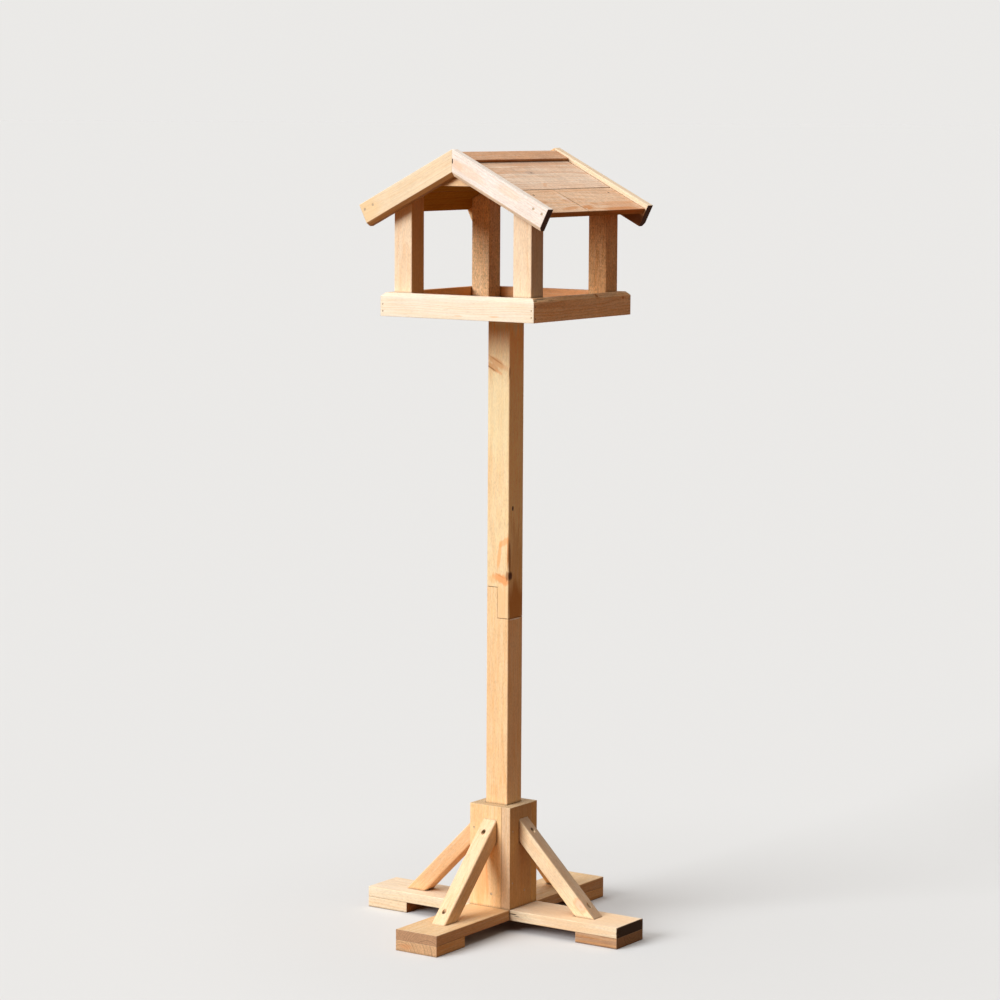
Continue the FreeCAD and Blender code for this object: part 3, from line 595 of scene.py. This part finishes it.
# a painted shadow in the gap along the bargeboard
vergeShadowLine = ((90, 144.8, 1280), (240, 200, 1.1), 0, 0.8, "6A4024")
paleSplit = ((138, -42, 1247), (20, 6, 5.0), 8, 0.45, "FBEBDC")
roof = {"roof_board_left": {"pith": (8, -26)},
        "roof_board_right": {"pith": (5, -28),
                             "stainsAndPaintedLight": [vergeShadowLine,
                                        ((100, -36, 1268), (4, 5, 12), 35, 0.4, "E2A06A"),
                                        ((36, 20, 1300), (7, 6, 150), 0, 0.5, "DFA070"),
                                        ((62, -24, 1287), (7, 5, 14), 0, 0.5, "C2AC9C"),    # a grey knot
                                        ((62, -20, 1287), (1.8, 5, 3.4), 0, 0.75, "6E5444")]},
        "eave_board_left": {"pith": (2, -30)},
        "eave_board_right_front": {"pith": (-1, -32),
                                   "stainsAndPaintedLight": [seam, paleSplit,
                                              ((172, -70, 1232), (4, 5, 32), 6, 0.55, "D98F54")]},
        "eave_board_right_back": {"pith": (-4, -34),
                                  "stainsAndPaintedLight": [seam, vergeShadowLine,
                                             ((172, -20, 1232), (7, 6, 24), 10, 0.68, "D98C50"),
                                             ((176, -26, 1230), (2.5, 5, 6), 30, 0.6, "F0D2B4"),
                                             ((160, 20, 1237), (4, 5, 12), -12, 0.45, "DB955C"),
                                             ((180, 80, 1228), (9, 6, 70), 0, 0.6, "DC8E52"),
                                             ((166, 92, 1236), (13, 6, 60), 0, 0.36, "DC9056")]},
        "ridge_strip_left": {"pith": (-7, -36)},
        "ridge_strip_right": {"pith": (-10, -38)}}
for i, node in enumerate(roof):
    slopeSide = left if "left" in node else right
    face = slopeSide * math.sin(slope) + up * math.cos(slope)
    dressBoard(node, face, back, seeds["roof"] + i, roofPine, roofSets[node.split("_")[0]], roof[node])
print("roof dressed")

# Fasteners: plated steel that has gone dull and a little rusty in the wood
steel = {"spotScale": 900.0,          # per metre, so rust spots of about a millimetre
         "spotDetail": 4.0, "spotSpan": (0.42, 0.6), "roughness": 0.5,
         "rightShadeColour": "5A3218"}        # painted shade on the heads turned right


def dullSteel(name, bare, rust, metallic, rightShadeShare=0.0):
    material = bpy.data.materials.new(name)
    material.use_nodes = True
    tree = material.node_tree
    shader = tree.nodes["Principled BSDF"]
    where = put(tree, "TexCoord").outputs["Object"]
    spots = put(tree, "TexNoise", {"Vector": where},
                {"Scale": steel["spotScale"], "Detail": steel["spotDetail"]}).outputs["Fac"]
    spots = put(tree, "MapRange", {"Value": spots},
                {"From Min": steel["spotSpan"][0], "From Max": steel["spotSpan"][1]})
    colour = put(tree, "Mix", {0: spots}, {6: linear(bare), 7: linear(rust)}, data_type="RGBA")
    facing = put(tree, "NewGeometry").outputs["True Normal"]
    # heads turned right are painted darker as painted shade
    shadedRight = turnedShare(tree, facing, right, rightShadeShare)
    colour = put(tree, "Mix", {0: shadedRight, 6: colour}, {7: linear(steel["rightShadeColour"])}, data_type="RGBA")
    tree.links.new(colour, shader.inputs["Base Color"])
    shader.inputs["Metallic"].default_value = metallic
    shader.inputs["Roughness"].default_value = steel["roughness"]
    return material


zinc = dullSteel("dull_zinc_steel", "5F5B55", "4A342A", 0.75)
yellowZinc = dullSteel("dull_yellow_zinc_steel", "8C7448", "5A4230", 0.6)
# small heads carry wood dust and tannin, so they hardly stand out from the boards
dusty = dullSteel("tannin_stained_steel", "DEC6A4", "BC9C74", 0.0)
# the pins' heads turned right get painted shade
dustyShadedPins = dullSteel("tannin_stained_pins_right_shade", "E8CFA8", "CBA87A", 0.0, rightShadeShare=0.9)
dustyNodes = ("bargeboard_nails", "socket_nails", "socket_screws", "post_foot_nails", "gusset_nails",
              "ridge_strip_pins")
for node in nodes:
    if node in dustyNodes:
        dress(node, dusty)
    elif node == "tray_rail_pins":
        dress(node, dustyShadedPins)
    elif node == "brace_screws":
        dress(node, yellowZinc)
    elif node.endswith(("_nails", "_screws", "_pins")):
        dress(node, zinc)
print("fasteners dressed")

# Camera: read off the photograph's perspective, in metres and degrees
camera = {"away": 5.4753, "azimuth": 34.0445, "height": 1.3949, "yaw": 0.094, "pitch": 6.8864, "roll": 0.3023,
          "focalPixels": 3249.09, "photoSide": 1000}
azimuth = math.radians(camera["azimuth"])
heading = azimuth + math.radians(camera["yaw"])
lensData = bpy.data.cameras.new("camera")
lensData.lens = camera["focalPixels"] * lensData.sensor_width / camera["photoSide"]
cameraPiece = bpy.data.objects.new("camera", lensData)
scene.collection.objects.link(cameraPiece)
cameraPiece.location = (camera["away"] * math.sin(azimuth), -camera["away"] * math.cos(azimuth),
                        camera["height"])
aim = (Matrix.Rotation(heading, 3, "Z") @ Matrix.Rotation(math.radians(90 - camera["pitch"]), 3, "X")
       @ Matrix.Rotation(math.radians(camera["roll"]), 3, "Z"))
cameraPiece.rotation_euler = aim.to_euler()
scene.camera = cameraPiece

# Light: a soft key low on the front left, a wide one overhead, and an even warm fill
light = {"key": {"azimuth": 22.0, "height": 26.0, "level": 1.03, "angle": 34.0},
         "overhead": {"azimuth": 60.0, "height": 77.0, "level": 0.62, "angle": 65.0},
         "lamps": "F6FAFF", "fill": "FFE8D2", "fillLevel": 0.21, "floor": "DAD9D6",
         "floorBounce": "7E4E2A"}      # what the floor throws back, so that undersides stay brown
for name in ("key", "overhead"):
    lamp = light[name]
    lampData = bpy.data.lights.new(name, "SUN")
    lampData.energy = math.pi * lamp["level"]
    lampData.color = linear(light["lamps"])[:3]
    lampData.angle = math.radians(lamp["angle"])
    lampPiece = bpy.data.objects.new(name, lampData)
    scene.collection.objects.link(lampPiece)
    turned = math.radians(lamp["azimuth"])
    lift = math.radians(lamp["height"])
    travel = Vector((math.sin(turned) * math.cos(lift), math.cos(turned) * math.cos(lift), -math.sin(lift)))
    lampPiece.rotation_euler = travel.to_track_quat("-Z", "Y").to_euler()
topLevel = sum(light[n]["level"] * math.sin(math.radians(light[n]["height"])) for n in ("key", "overhead"))
# the backdrop is the colour that the lit floor has far from the object
floorColours = zip(linear(light["floor"]), linear(light["lamps"]), linear(light["fill"]))
farFloor = [tone * (lamps * topLevel + fill * light["fillLevel"]) for tone, lamps, fill in floorColours]


def seenDirectly(tree):
    # 1 where the camera sees a surface itself, straight or in a reflection
    rays = put(tree, "LightPath")
    direct = put(tree, "Math", {0: rays.outputs["Is Camera Ray"], 1: rays.outputs["Is Glossy Ray"]},
                 operation="MAXIMUM")
    return put(tree, "Math", {0: direct, 1: rays.outputs["Is Transmission Ray"]}, operation="MAXIMUM")


world = bpy.data.worlds.new("softRoom")
scene.world = world
world.use_nodes = True
sky = world.node_tree
fill = sky.nodes["Background"]
fill.inputs["Color"].default_value = linear(light["fill"])
fill.inputs["Strength"].default_value = light["fillLevel"]
seen = put(sky, "Background", values={"Color": farFloor[:3] + [1.0], "Strength": 1.0})
both = put(sky, "MixShader", {0: seenDirectly(sky), 1: fill.outputs[0], 2: seen})
sky.links.new(both, sky.nodes["World Output"].inputs["Surface"])

floorSheet = {"corners": 96, "radius": 300, "below": 0.0002, "roughness": 0.9}
bpy.ops.object.select_all(action="DESELECT")
bpy.ops.mesh.primitive_circle_add(vertices=floorSheet["corners"], radius=floorSheet["radius"],
                                  fill_type="NGON", location=(0, 0, -floorSheet["below"]))
floor = bpy.context.object
floor.name = "floor"
floorMaterial = bpy.data.materials.new("pale_floor")
floorMaterial.use_nodes = True
floorTree = floorMaterial.node_tree
floorShader = floorTree.nodes["Principled BSDF"]
floorTone = put(floorTree, "Mix", {0: seenDirectly(floorTree)},
                {6: linear(light["floorBounce"]), 7: linear(light["floor"])}, data_type="RGBA")
floorTree.links.new(floorTone, floorShader.inputs["Base Color"])
floorShader.inputs["Roughness"].default_value = floorSheet["roughness"]
floorShader.inputs["Specular IOR Level"].default_value = 0.0
floor.data.materials.append(floorMaterial)
print("stage set")

bpy.context.view_layer.update()
